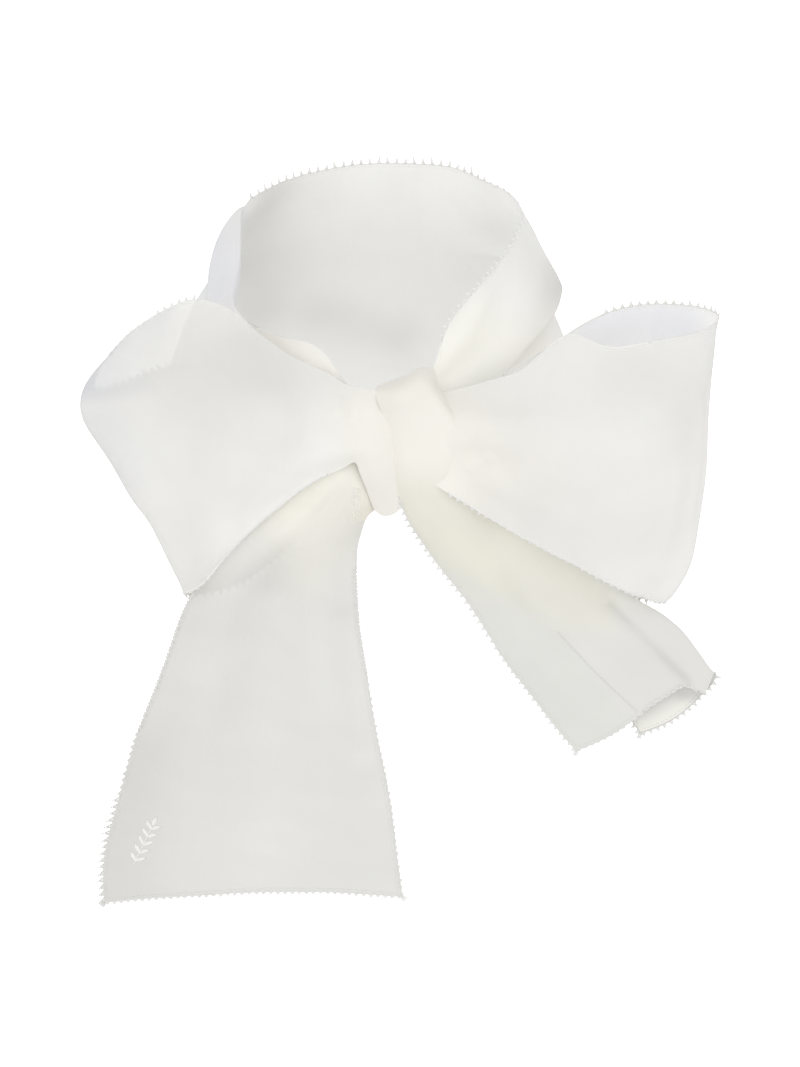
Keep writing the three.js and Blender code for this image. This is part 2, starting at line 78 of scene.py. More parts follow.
# Sections of the left tail, from the knot down to its end, each from left selvedge to right
LEFT_TAIL = {
    "at_knot": [(-8, -65, -56), (-3, -67.5, -65), (-1, -67.5, -73), (0, -66, -79), (1, -64, -85)],
    "behind_lobe": [
        (-18, -71, -56), (-13, -72.4, -66), (-9.5, -71.5, -74), (-7, -69.7, -81), (-4.5, -67, -88),
    ],
    "gathered": [(-39, -72, -74), (-30, -73, -80), (-23, -71.5, -86), (-16, -71, -91), (-9, -68, -96)],
    "opening": [(-74, -74, -105), (-57, -76, -107), (-41, -73, -112), (-26, -74, -112), (-12, -70, -114.5)],
    "upper": [(-92, -72, -130), (-71, -76, -132), (-51, -70, -136), (-29, -74, -135), (-11, -70, -137)],
    "middle": [(-105, -70, -164), (-79, -76, -164), (-54, -67, -169), (-29, -75, -167), (-7, -70, -168)],
    "lower": [(-118, -69, -197), (-87, -74, -198), (-58, -66, -201), (-27, -74, -199), (-2, -70, -200)],
    "low": [(-128.2, -67, -232), (-95, -71, -233), (-61, -65, -237), (-27, -71, -234), (4, -68, -233)],
    "near_end": [(-135.8, -66, -262), (-98, -69, -258), (-62, -65, -259), (-26, -69, -257), (7, -67, -258)],
    "end": [(-136.5, -65, -286.5), (-99, -68, -282), (-62, -64, -281.5), (-26, -68, -280), (10, -66, -283)],
}

# Sections of the right tail, from behind the knot, over its right side and down to its end. The
# strip is folded lengthwise: three points on the front layer, then a shallow channel and the
# fold, then two points on the layer behind, the last one on the hidden selvedge.
RIGHT_TAIL = {
    "tucked_in": [
        (1, -50, -37), (5, -50, -36), (9, -50, -36), (13, -49, -36), (16, -48, -37), (15, -46, -38),
        (13, -44, -39),
    ],
    "over_top": [
        (1, -54, -30), (6, -54, -27), (12, -53, -25), (18, -52, -23), (23, -50, -24), (22, -46, -27),
        (18, -44, -29),
    ],
    "knot_top": [
        (-3, -70, -28.5), (5, -75, -26.5), (12, -76, -23.5), (19, -75, -20.5), (25, -71, -24),
        (28, -60, -31), (26, -51, -34),
    ],
    "knot_upper": [
        (2, -73, -44), (8, -77, -43), (15, -78.5, -42), (23, -79, -41), (31, -79.3, -42), (38, -77.5, -45),
        (41, -71, -50),
    ],
    "knot_lower": [
        (5, -73, -62), (10, -77, -61), (17, -78.5, -60), (25, -79, -59), (33, -79.3, -60), (39, -77, -63),
        (41, -70, -67),
    ],
    "knot_low": [
        (8, -72, -80), (13, -75, -79), (19, -76, -78), (27, -76, -77), (34, -73, -76), (35, -66, -81),
        (28, -58, -84),
    ],
    "gathered": [
        (17.5, -70, -100.5), (27, -74, -96), (38, -73, -92), (48, -71, -89), (57, -67, -86), (55, -62, -92),
        (47, -61, -98),
    ],
    "upper": [
        (37.5, -71, -127.5), (50, -75, -120.5), (64, -72, -116), (77, -72, -112), (89, -66, -108),
        (85, -62, -116), (70, -62, -125),
    ],
    "middle": [
        (56, -71, -156), (71, -75, -148), (86, -72, -142), (102, -72, -135), (117, -65, -128),
        (110, -61, -138), (88, -62, -151),
    ],
    "lower": [
        (75.5, -70, -184), (91, -73, -175), (108, -70, -166), (125.5, -70, -156), (143, -63, -147.5),
        (132, -60, -160), (107, -61, -175),
    ],
    "end": [
        (93.5, -69, -207), (111, -71, -197.5), (128, -69, -185), (146, -66, -174), (161, -62, -169),
        (149, -58, -188), (125, -60, -201),
    ],
}

# The rim of the neck band, from the knot round the left side and the back to the knot again:
# x, y, z, then how far the cloth leans out above its tuck and below it in degrees, how far the
# upper part bows outward, how far the band reaches down, how much of its top is turned down
# outside, and how much of its lower part is tucked up behind the upper part, from 0 to 1
NECK_BAND = {
    "left_end": (-5, -47, -33, 0, 0, 0, 38, 5, 0),
    "left_knot": (-17, -56, -28.5, 0, 0, 0, 44, 8, 0),
    "left_corner": (-22.5, -55, -20.5, 0, 0, 0, 52, 8, 0),
    "left_front": (-29, -53, -13, 0, 0, 0, 60, 9, 0),
    "left_third": (-46, -46, -8.5, 3, 2, 0, 68, 10, 0),
    "left_half": (-61, -29, -6, 8, 6, 1, 76, 11, 0),
    "left_dip": (-69.8, -12, 4, 27, 18, 6, 92, 8, 0),
    "left_rise": (-66.4, 2, 23, 32, 20, 8, 112, 6, 0),
    "left_bend": (-66.5, 17.5, 42.4, 30, 20, 6, 131, 5, 0),
    "left_side": (-65.2, 21.5, 46.3, 29, 20, 5, 134, 0, 0),
    "back_left": (-49, 40, 53.3, 22, 20, 2, 142, 0, 0),
    "back_mid_left": (-24, 51, 58.2, 19, 18, 0, 145, 0, 0),
    "back": (4, 54, 60.3, 18, 18, 0, 145, 0, 0),
    "back_mid_right": (31, 50, 59.2, 20, 18, 0, 145, 0, 0),
    "back_right": (53, 35, 53.5, 26, 18, 0, 142, 0, 0.4),
    "right_side": (66.5, 16, 45.5, 30, 18, 0, 132, 0, 1),
    "right_drop": (65.5, 0, 34, 28, 16, 0, 118, 0, 1),
    "right_half": (52, -22, 19, 14, 6, 0, 100, 0, 0.25),
    "right_third": (37, -42, 6, 9, 0, 0, 82, 0, 0),
    "right_front": (28, -54, -8, 5, 0, 0, 66, 0, 0),
    "right_knot": (22, -58, -23, 0, 0, 0, 50, 0, 0),
    "right_end": (11, -47, -31, 0, 0, 0, 40, 0, 0),
}

# How far down the band's upper part reaches, the place of its first bend as a share of that, how
# far the cloth rises and moves inward where it is tucked up, how far it runs on where it isn't,
# how round the fold is, and how far a turned-down top stands off, in millimetres
BAND_UPPER = 44
FIRST_BEND = 0.12
TUCK_RISE = 8
TUCK_INSET = 10
TUCK_SPREAD = 10
FOLD_TURN = 2
TURNED_GAP = 1.6

# Round sections of the knot's wound core, from its top to its bottom tip: x, y, z, half width and
# half depth. It is a little slimmer than its solid, so that the cloth lies around it.
KNOT = {
    "crown": (4, -56, -31.5, 5, 4),
    "shoulder": (4, -56.5, -34, 13, 9),
    "upper": (4, -56.5, -46, 15, 12.5),
    "lower": (5, -57, -63, 14, 12.5),
    "low": (5, -59, -76, 9.5, 8.5),
    "tip": (4.5, -60, -84, 5, 5),
    "point": (4, -61, -88, 1.5, 2),
}

# How finely each sheet is divided, along the strip and across it, and which of its two faces is
# the outer one
FINENESS = {
    "left_loop": (230, 90),
    "right_loop": (230, 90),
    "left_tail": (150, 90),
    "right_tail": (180, 110),
    "neck_band": (280, 96),
}
OUTER_FACE = {"left_loop": 1, "right_loop": -1, "left_tail": 1, "right_tail": 1, "neck_band": 1}


def natural_spline(knots, values, places):
    """Natural cubic spline through the rows of values, read at each place."""
    span = np.diff(knots)
    count = len(knots)
    system = np.eye(count)
    right = np.zeros_like(values)
    for i in range(1, count - 1):
        system[i, i - 1 : i + 2] = span[i - 1], 2 * (span[i - 1] + span[i]), span[i]
        right[i] = 6 * ((values[i + 1] - values[i]) / span[i] - (values[i] - values[i - 1]) / span[i - 1])
    bend = np.linalg.solve(system, right.reshape(count, -1)).reshape(values.shape)
    cell = np.clip(np.searchsorted(knots, places, side="right") - 1, 0, count - 2)
    shape = (len(places),) + (1,) * (values.ndim - 1)
    width = span[cell].reshape(shape)
    b = ((places - knots[cell]) / span[cell]).reshape(shape)
    a = 1 - b
    curve = ((a**3 - a) * bend[cell] + (b**3 - b) * bend[cell + 1]) * width**2 / 6
    return a * values[cell] + b * values[cell + 1] + curve


def distances(lines):
    """How far each line of points lies along its row of lines, by their mean distances."""
    steps = np.linalg.norm(np.diff(lines, axis=0), axis=2).mean(axis=1)
    return np.concatenate([[0], np.cumsum(steps)])


def knots_of(lines):
    """The same distances as knots from 0 to 1."""
    reach = distances(lines)
    return reach / reach[-1]


def smooth_sheet(sections, divisions):
    """Grid of points on the smooth sheet through the sections, and each section's place along it."""
    lines = np.array(sections, float)
    along_knots = knots_of(lines)
    across_knots = knots_of(lines.transpose(1, 0, 2))
    rails = natural_spline(along_knots, lines, np.linspace(0, 1, divisions[0] + 1))
    grid = natural_spline(across_knots, rails.transpose(1, 0, 2), np.linspace(0, 1, divisions[1] + 1))
    return grid.transpose(1, 0, 2), along_knots


def unit(vectors):
    """The same vectors with length 1."""
    return vectors / np.maximum(np.linalg.norm(vectors, axis=-1, keepdims=True), TINY)


def grid_normals(grid):
    """Normal of the sheet at each of its grid's points."""
    return unit(np.cross(np.gradient(grid, axis=0), np.gradient(grid, axis=1)))


def leaning(degrees):
    """The way out and down at an angle from straight down."""
    angle = math.radians(degrees)
    return np.array([math.sin(angle), math.cos(angle)])


def band_sections():
    """Points of each section of the neck band, from the top selvedge to the low one."""
    rows = list(NECK_BAND.values())
    sections = []
    for i, row in enumerate(rows):
        x, y, z, flare, flare_low, bow, drop, turned, tuck = row
        before = rows[max(i - 1, 0)]
        after = rows[min(i + 1, len(rows) - 1)]
        outward = unit(np.array([before[1] - after[1], after[0] - before[0]], float))
        upper = min(BAND_UPPER, drop / 2)
        lean_way = leaning(flare)
        fold = upper * lean_way
        smooth = fold + TUCK_SPREAD * lean_way
        tucked = fold - np.array([TUCK_INSET, TUCK_RISE])
        root = smooth + tuck * (tucked - smooth)
        low = (drop - upper - TUCK_SPREAD) * leaning(flare_low)
        profile = [
            (TURNED_GAP if turned else 0, turned),
            (FIRST_BEND * fold[0], 0 if turned else FIRST_BEND * fold[1]),
            (fold[0] / 2 + bow, fold[1] / 2),
            fold - FOLD_TURN * lean_way,
            fold + FOLD_TURN * unit(root - fold),
            root,
            root + low / 2,
            root + low,
        ]
        sections.append([(x + out * outward[0], y + out * outward[1], z - down) for out, down in profile])
    return sections


def placed(name, data):
    """A new object, linked into the scene."""
    item = bpy.data.objects.new(name, data)
    bpy.context.scene.collection.objects.link(item)
    return item


def to_mesh(name, points, faces, colours=None, places=None):
    """Smooth shaded object from points in millimetres, with colours and cloth coordinates."""
    mesh = bpy.data.meshes.new(name)
    mesh.from_pydata((np.asarray(points) * MM).tolist(), [], faces)
    mesh.polygons.foreach_set("use_smooth", [True] * len(mesh.polygons))
    if places is not None:
        corners = np.zeros(len(mesh.loops), int)
        mesh.loops.foreach_get("vertex_index", corners)
        layer = mesh.uv_layers.new(name="cloth")
        layer.data.foreach_set("uv", (places * MM)[corners].ravel())
    if colours is not None:
        tint = mesh.color_attributes.new(name="tint", type="FLOAT_COLOR", domain="POINT")
        tint.data.foreach_set("color", colours.ravel())
    mesh.update()
    return placed(name, mesh)


def grid_faces(rows, columns):
    """Quads of a grid of points that are numbered row by row."""
    index = np.arange(rows * columns).reshape(rows, columns)
    corners = index[:-1, :-1], index[1:, :-1], index[1:, 1:], index[:-1, 1:]
    return np.stack([corner.ravel() for corner in corners], axis=1).tolist()


def cloth_places(grid):
    """Each point's place on the strip: how far along it and how far across, in millimetres."""
    along, across = distances(grid), distances(grid.transpose(1, 0, 2))
    return np.stack(np.meshgrid(along, across, indexing="ij"), axis=-1)


# Folds, ridges and dents pressed into each sheet: from where to where, how wide, and how far the
# cloth stands out there, in millimetres. A height below 0 is pressed in.
RELIEF = {
    "left_loop": [
        ((-12, -72, -40), (-62, -92, -24), 6, 0.8),
        ((-12, -73, -48), (-70, -98, -48), 7, -0.6),
        ((-12, -73, -56), (-66, -97, -66), 6, 0.7),
        ((-14, -70, -64), (-58, -90, -84), 7, -0.5),
        ((-16, -66, -70), (-70, -84, -100), 6, 0.5),
        ((-90, -86, -44), (-96, -84, -90), 16, -2.5),
        ((-52, -90, -44), (-78, -95, -70), 14, 1.6),
        ((-120, -58, -30), (-112, -66, -80), 9, 1.2),
        ((-17, -66, -33), (-16, -71, -41), 1.4, -0.8),
        ((-66, -58, -6), (-92, -66, -14), 8, -1.4),
    ],
    "right_loop": [
        ((50, -82, -44), (78, -90, -36), 6, 1.1),
        ((48, -84, -55), (84, -98, -58), 8, -1.0),
        ((48, -83, -68), (88, -94, -84), 8, 1.2),
        ((48, -80, -78), (78, -84, -96), 6, -0.6),
        ((50, -76, -34), (70, -80, -22), 6, -0.7),
        ((84, -94, -52), (84, -96, -76), 12, -2.4),
        ((132, -84, -70), (130, -78, -112), 8, 1.8),
        ((118, -92, -40), (122, -92, -90), 9, 1.2),
        ((146, -72, -30), (144, -74, -84), 6, 1.2),
        ((44, -77, -62), (52, -82, -57), 3, 1.3),
    ],
    "left_tail": [
        ((-49, -66, -108), (-52, -67, -124), 9, -2.2),
        ((-18, -71, -140), (-12, -70, -205), 7, -1.8),
        ((-34, -74, -128), (-36, -74, -190), 10, 1.2),
        ((-74, -75, -140), (-92, -73, -232), 16, 1.4),
        ((-104, -71, -180), (-118, -68, -250), 12, -1.4),
        ((-50, -66, -200), (-58, -65, -262), 12, -1.2),
    ],
    "right_tail": [
        ((18, -78, -44), (44, -73, -96), 7, 0.9),
        ((24, -75, -96), (84, -73, -160), 9, -0.4),
        ((109, -70, -133), (147, -66, -173), 4, -1.6),
        ((60, -72, -129), (120, -66, -186), 2.6, 0.3),
        ((60, -74, -128), (112, -70, -188), 9, 0.4),
        ((52, -72, -140), (94, -69, -196), 8, -0.5),
    ],
    "neck_band": [
        ((24, -48, -18), (44, -32, 2), 6, 1.0),
        ((27, -48, -26), (56, -22, -10), 7, -0.9),
        ((28, -48, -34), (64, -18, -22), 6, 0.8),
        ((60, -16, 10), (84, 12, 2), 9, -0.8),
        ((-30, -50, -24), (-62, -32, -16), 5, 1.2),
        ((-24, -51, -30), (-58, -34, -30), 5, -1.2),
        ((-20, 54, 30), (-16, 66, -20), 16, 1.8),
        ((28, 52, 34), (30, 62, -10), 15, -1.8),
        ((-72, 18, 16), (-78, 10, -20), 12, -1.8),
    ],
}

# Small random crinkles of crisp cloth: how long a wave is and how high, in millimetres
CRINKLES = [(46, 0.4), (27, 0.2), (15, 0.08)]
CRINKLE_WAVES = 5

# Where the knot pulls the crinkles flat, and how far from there they come back
CALM_CENTRE = (14, -72, -56)
CALM_REACH = 36

# Tones of the cloth, as linear colours, and then the share of its light that comes through from behind:
# little where the cloth is bunched in many layers. Ivory is the cloth's own tone and warm its tone where it
# is bunched in the knot; most of the others are painted light and painted shade, lighter or darker than the
# cloth where more or less light falls.
TONES = {
    "ivory": (0.90, 0.897, 0.875, 0.36),
    # painted shade: a greyer tone in folds and on the shaded parts of the loops and the band
    "cloud": (0.80, 0.797, 0.77, 0.36),
    # painted shade: greyer and cooler where one layer of cloth lies alone, the next tone a little lighter
    "painted_cool_shade": (0.725, 0.73, 0.768, 0.36),
    "painted_lavender_shade": (0.80, 0.805, 0.84, 0.3),
    # painted light on the loops' lower sides and on the right loop's outer turn
    "painted_light": (0.95, 0.94, 0.915, 0.1),
    # painted light on the band's turned rim and in the pocket below the band's fold
    "rim": (0.97, 0.945, 0.90, 0.1),
    "warm": (0.848, 0.825, 0.765, 0),
    # painted light in the pocket between the band and the knot, and on the back layer inside the right
    # tail's fold
    "painted_bright_light": (0.97, 0.955, 0.88, 0),
    # less light from behind where layers lie close together; on the left tail under its loop it is also
    # painted light, far lighter than the tail's tone
    "thick": (0.90, 0.89, 0.86, 0.16),
    "shade": (0.58, 0.575, 0.545, 0.36),
    # painted shade: the tails' tone, darker than the loops' because the tails get less light
    "tail": (0.69, 0.685, 0.657, 0.36),
    # painted light in a creamy tone, on the left tail's top under its loop
    "painted_light_cream": (0.88, 0.86, 0.785, 0),
    # painted shade in a tan tone, where the left tail runs under the knot's lobe
    "painted_tan_shade_under_lobe": (0.80, 0.765, 0.675, 0),
    # a creamy tone, lighter than the tails': painted light where the tails run under the knot and the
    # loops; a little of it tints the right loop beside the knot
    "cream": (0.775, 0.755, 0.665, 0),
    # painted shade in a tan tone, in the crease of the knot and on the right tail's left side
    "painted_tan_shade": (0.70, 0.687, 0.605, 0),
    # tan tone: painted light on the right tail beside its loop's edge, and painted shade on top of the
    # knot's right lobe
    "painted_tan_light_and_shade": (0.76, 0.745, 0.665, 0),
    # folded and double: the same painted shade for the right tail, double a little lighter on its two-layer
    # part
    "folded": (0.72, 0.72, 0.685, 0),
    "double": (0.735, 0.73, 0.70, 0),
    "blush": (0.90, 0.875, 0.835, 0.3),
}

# The tone that each sheet starts from, and then where it drifts to another tone: from where to where, how
# far it spreads in millimetres, the tone and how much of it. The tails start from darker tones, painted
# shade, and most spots are painted light and painted shade: shade inside the neck band, in creases and
# folds and under the loops, light in the pockets beside the knot and where the loops turn away from the
# lamps.
SHEET_TONE = {
    "left_loop": "ivory",
    "right_loop": "ivory",
    "left_tail": "tail",
    "right_tail": "folded",
    "neck_band": "ivory",
}
TONE_SPOTS = {
    "left_loop": [
        ((-104, -60, -16), (-66, -76, -14), 34, "cloud", 0.9),
        ((-20, -72, -40), (-46, -86, -66), 22, "painted_light", 0.5),
        ((-20, -72, -70), (-62, -82, -98), 18, "painted_light", 0.8),
        ((-8, -72, -40), (-2, -70, -80), 18, "warm", 0.95),
        ((5, -73, -34), (10, -71, -80), 9, "warm", 1),
        ((9, -73, -54), (11, -72, -72), 2.2, "painted_tan_shade", 0.7),
        ((-128, -58, -50), (-118, -62, -62), 20, "painted_cool_shade", 0.35),
        ((-90, -82, -100), (-86, -80, -116), 18, "cloud", 0.5),
    ],
    "right_loop": [
        ((100, -30, 2), (140, -34, -6), 20, "painted_lavender_shade", 0.9),
        ((48, -78, -56), (72, -90, -60), 22, "blush", 0.8),
        ((140, -80, -30), (118, -90, -18), 26, "cloud", 0.6),
        ((24, -74, -40), (34, -78, -72), 26, "warm", 1),
        ((41, -78, -38), (47, -80, -50), 10, "cream", 0.15),
        ((60, -74, -96), (110, -80, -120), 14, "thick", 0.6),
        ((154, -58, -50), (138, -68, -120), 18, "painted_light", 0.8),
    ],
    "left_tail": [
        ((-78, -74, -112), (-30, -72, -82), 12, "thick", 0.7),
        ((-20, -72, -70), (-44, -74, -88), 15, "painted_light_cream", 1),
        ((-18, -72, -92), (-34, -72, -112), 16, "cream", 0.5),
        ((-52, -66, -116), (-52, -66, -120), 10, "shade", 0.25),
        ((-92, -70, -130), (-118, -68, -200), 26, "shade", 0.35),
        ((-122, -68, -215), (-132, -67, -270), 26, "shade", 0.8),
    ],
    "right_tail": [
        ((14, -74, -84), (48, -73, -108), 18, "cream", 0.9),
        ((4, -74, -26), (22, -75, -24), 9, "painted_tan_light_and_shade", 0.5),
        ((109, -70, -133), (147, -66, -173), 2.2, "shade", 0.2),
        ((123, -60, -203), (147, -58, -190), 8, "painted_bright_light", 0.72),
        ((146, -58.5, -181), (153, -60, -180), 3.5, "shade", 0.9),
    ],
    "neck_band": [
        ((-78, 0, 10), (-86, 12, 20), 24, "painted_lavender_shade", 0.9),
        ((-30, 50, 10), (45, 45, 10), 45, "shade", 0.34),
        ((-50, 38, 40), (-54, 34, -26), 22, "shade", 0.5),
        ((-57, 35, 46), (-68, 42, 6), 14, "shade", 0.55),
        ((-24, 50, -28), (8, 50, -44), 14, "shade", 0.36),
        ((-16, -54, -26), (-61, -29, -6), 14, "rim", 0.95),
        ((70, -14, -26), (90, 0, -14), 19, "rim", 1),
        ((69, 0, 27), (80, 0, 8), 15, "cloud", 0.6),
        ((24, -56, -20), (44, -36, -10), 22, "painted_bright_light", 0.95),
    ],
}

# Zones of one tone: each zone's outline in x and z, how wide its border is in millimetres, the tone and how
# much of it. On the right tail: its two-layer part, its left side in painted tan shade, its right side by
# the loop's edge in painted tan light, and its part over the knot in the knot's tone. The left loop's zone
# is painted cool shade where one layer lies alone, and the left tail's is painted tan shade where it runs
# under the knot's lobe.
RIGHT_TAIL_ZONES = {
    "double": [
        (28, -84), (70, -125), (107, -175), (132, -206), (180, -176), (141, -138), (89, -98), (57, -78),
    ],
    "left_side": [
        (-5, -20), (-5, -100), (30, -110), (47, -119), (66, -132), (72, -134), (60, -112), (28, -84),
        (28, -20),
    ],
    "right_side": [(28, -84), (60, -112), (72, -134), (85, -144), (109, -146), (114, -130), (40, -60)],
    "over_knot": [(-10, -5), (-10, -84), (22, -96), (44, -86), (48, -5)],
}
TONE_ZONES = {
    "right_tail": [
        (RIGHT_TAIL_ZONES["double"], 7, "double", 1),
        (RIGHT_TAIL_ZONES["left_side"], 14, "painted_tan_shade", 0.9),
        (RIGHT_TAIL_ZONES["right_side"], 14, "painted_tan_light_and_shade", 0.85),
        (RIGHT_TAIL_ZONES["over_knot"], 14, "warm", 1),
    ],
    "left_loop": [
        ([(-97, 26), (-99, 10), (-106, -28), (-127, -33), (-146, -37), (-160, 10)], 8, "painted_cool_shade", 1),
    ],
    "left_tail": [
        ([(-14.3, -56), (-14.3, -92), (10, -92), (10, -56)], 3, "painted_tan_shade_under_lobe", 1),
    ],
}

# Places where the cloth is drawn out of its smooth sheet: where, how wide and how far
PULLS = {
    "right_tail": [((153, -64, -172), 6, (3, 0, -8))],
}

# The small pointed thread loops along the edges, in millimetres: their pitch, height and width at
# the foot, the thread's radius at the foot and at the tip, and how deep the foot is sunk in the
# hem. Then how much their heights differ, as a share, and how much their ways do, in degrees, how
# full their sides are, and how far they narrow towards the tip.
PICOT = {
    "pitch": 3.9,
    "height": 3.3,
    "foot": 1.8,
    "root": 0.34,
    "tip": 0.2,
    "sunk": 0.4,
    "uneven": 0.12,
    "tilt": 7,
    "fullness": 0.8,
    "narrowing": 0.9,
}

# Each loop is worked twice, the second time smaller, inside the first
PICOT_SIZES = (1, 0.55)

# The sheets whose loops have another pitch or width
PITCHES = {"neck_band": 4.3, "left_tail": 3.5, "right_tail": 3.5}
BROAD = {"neck_band": 0.75, "left_tail": 1.25, "right_tail": 1.1}

# The tails' hems and stitches are darker, painted shade to match the tails' darker tone, and each corner of
# their end has a fan of loops: how many and how large. Then the edge whose loops lie in shade, painted
# darker in the tails' hem colour.
TAILS = ("left_tail", "right_tail")
TUFT = {"loops": 4, "size": 0.9}
SHADED_EDGE = {"left_tail": "top"}

# The rolled hem: how wide and thick it is, how far its line of stitches lies from the edge, and
# the stitches' length, gap and thread radius
HEM = {"width": 0.9, "thick": 0.34, "stitch_line": 2.0, "stitch": 1.6, "gap": 0.8, "thread": 0.12}

# In how many steps the line of a loop and of a stitch is drawn, and how many sides a thread and the
# hem have
PICOT_STEPS = 10
STITCH_STEPS = 5
THREAD_SIDES = 5
HEM_SIDES = 8

# Which stretches of each sheet's edges are in sight, from section to section, or at a tail's end
# from share to share of its width. Then how far the loops are bent towards the sheet's inner face
# and how far they lean along the edge, in degrees, and their size. With size 0 the loops lie
# hidden in the hem.
EDGES = {
    "left_loop": [
        ("top", "front_half", "front_far", 60, 0, 0.5),
        ("top", "front_far", "shoulder", 0, 0, 0.9),
        ("top", "shoulder", "turn", 35, 0, 0.6),
        ("top", "turn", "back_turned", 0, 0, 0),
        ("top", "back_turned", "back_near", 20, 0, 0.8),
        ("bottom", "front_near", "front_far", 115, 0, 0.8),
        ("bottom", "front_far", "turn", 70, 0, 0.7),
        ("bottom", "turn", "back_near", 20, 0, 0.8),
    ],
    "right_loop": [
        ("top", "front_near", "front_peak", 0, 0, 0),
        ("top", "front_peak", "front_far", 0, 0, 0),
        ("top", "front_far", "turn", 110, 0, 0.5),
        ("top", "turn", "back_half", 5, 0, 0.8),
        ("top", "back_half", "back_near", 0, 0, 0),
        ("bottom", "front_at_knot", "front_far", 25, 0, 0.6),
        ("bottom", "front_far", "back_turned", 110, 0, 0.6),
        ("bottom", "back_turned", "back_near", 20, 0, 0.8),
    ],
    "left_tail": [
        ("top", "gathered", "lower", 110, 0, 0.8),
        ("top", "lower", "low", 20, 35, 0.6),
        ("top", "low", "end", 5, 35, 1.25),
        ("bottom", "gathered", "opening", 0, 0, 0),
        ("bottom", "opening", "middle", 115, 0, 0.8),
        ("bottom", "middle", "end", 55, 0, 0.45),
        ("end", 0, 1, 20, 0, 0.6),
    ],
    "right_tail": [
        ("top", "knot_low", "upper", 10, 12, 1),
        ("top", "upper", "middle", 10, 12, 0.8),
        ("top", "middle", "end", 10, 12, 0.62),
        ("bottom", "gathered", "end", 10, 0, 0.8),
        ("end", 0, 0.3, 50, 0, 0.45),
        ("end", 0.3, 0.52, -120, 0, 0.6),
        ("end", 0.52, 0.64, 5, 0, 0),
        ("end", 0.64, 1, 5, 0, 0.8),
    ],
    "neck_band": [
        ("top", "left_side", "back_left", -25, 0, 1.1),
        ("top", "back_left", "back_right", -12, 0, 1.1),
        ("top", "back_right", "right_front", 20, 20, 0.65),
        ("top", "right_front", "right_knot", 0, 0, 0),
        ("bottom", "left_third", "right_third", 10, 0, 0.8),
    ],
}

# Where a folded-over selvedge lies on a tail: from where to where, its loops' size, the thread's
# radius, in how many steps its line is drawn, and how full and how broad the loops are
LAID_LOOPS = {
    "sheet": "left_tail",
    "start": (-13.8, -71, -74.3),
    "stop": (-13.5, -71, -91),
    "size": 0.95,
    "thread": 0.2,
    "steps": 24,
    "fullness": 0.5,
    "spread": 0.36,
}

# Where the hidden selvedge of a folded tail shows through as a faint row of stitches: the share of
# the sheet's width, from which section to which
GLIMPSED = {"right_tail": (0.3, "middle", "end")}

# The small embroidered sprig: its sheet, where it starts and ends, its pairs of leaves and where
# in its stretch of the stem a pair stands, each leaf's length, width, fullness and angle to the
# stem in degrees, how far apart its stitches lie, how far they slant in degrees, their radius and
# how far they stand proud, and the stem's stitches and how far they overlap
SPRIG = {
    "sheet": "left_tail",
    "foot": (-121.6, -67, -266),
    "tip": (-109, -68, -240),
    "pairs": 5,
    "first_pair": 0.6,
    "leaf": 5.4,
    "width": 2.4,
    "fullness": 0.8,
    "angle": 48,
    "pitch": 0.42,
    "slant": 65,
    "thread": 0.21,
    "rise": 0.3,
    "stem": 1.6,
    "overlap": 1.2,
}


def segment_distance(points, start, stop):
    """How far each point lies from the segment between two places."""
    run = stop - start
    share = np.clip((points - start) @ run / max(run @ run, TINY), 0, 1)
    return np.linalg.norm(points - (start + share[..., None] * run), axis=-1)


def snapped(grid, place):
    """The point of the sheet that lies nearest to a place."""
    flat = grid.reshape(-1, 3)
    return flat[np.argmin(np.linalg.norm(flat - place, axis=1))]


def soft_spot(grid, start, stop, width):
    """A smooth hump from 0 to 1 along a line on the sheet."""
    distance = segment_distance(grid, snapped(grid, start), snapped(grid, stop))
    return np.exp(-((distance / width) ** 2))


def crinkled(places, random):
    """Height of the random crinkles at each place on the cloth."""
    height = np.zeros(places.shape[:2])
    for length, size in CRINKLES:
        for _ in range(CRINKLE_WAVES):
            angle = random.uniform(0, math.tau)
            phase = random.uniform(0, math.tau)
            turn = places[..., 0] * math.cos(angle) + places[..., 1] * math.sin(angle)
            height += size / CRINKLE_WAVES**0.5 * np.sin(math.tau * turn / length + phase)
    return height


def pressed(name, grid, random):
    """The sheet with its folds, dents and crinkles."""
    normals = grid_normals(grid) * OUTER_FACE[name]
    from_knot = np.linalg.norm(grid - CALM_CENTRE, axis=-1)
    height = crinkled(cloth_places(grid), random) * (1 - np.exp(-((from_knot / CALM_REACH) ** 4)))
    for start, stop, width, rise in RELIEF[name]:
        height += rise * soft_spot(grid, start, stop, width)
    drawn = grid + normals * height[..., None]
    for place, width, pull in PULLS.get(name, ()):
        drawn = drawn + soft_spot(grid, place, place, width)[..., None] * pull
    return drawn


def zone_share(grid, outline, border):
    """How far inside an outline, seen from the front, each point lies: 0 outside, 1 inside."""
    x, z = grid[..., 0], grid[..., 2]
    distance = np.full(x.shape, np.inf)
    inside = np.zeros(x.shape, bool)
    corners = np.array(outline, float)
    for start, stop in zip(corners, np.roll(corners, -1, axis=0)):
        run = stop - start
        distance = np.minimum(distance, segment_distance(grid[..., [0, 2]], start, stop))
        if run[1]:
            crossing = start[0] + (z - start[1]) / run[1] * run[0]
            inside ^= ((start[1] > z) != (stop[1] > z)) & (x < crossing)
    depth = np.clip(0.5 + np.where(inside, distance, -distance) / border, 0, 1)
    return depth * depth * (3 - 2 * depth)


def tinted(name, grid):
    """Colour of the cloth at each point of the sheet, and its share of light from behind."""
    colours = np.tile(TONES[SHEET_TONE[name]], (*grid.shape[:2], 1))
    parts = [
        (share * zone_share(grid, outline, border), tone)
        for outline, border, tone, share in TONE_ZONES.get(name, ())
    ]
    parts += [
        (share * soft_spot(grid, start, stop, spread), tone)
        for start, stop, spread, tone, share in TONE_SPOTS[name]
    ]
    for part, tone in parts:
        colours = colours * (1 - part[..., None]) + TONES[tone] * part[..., None]
    return colours


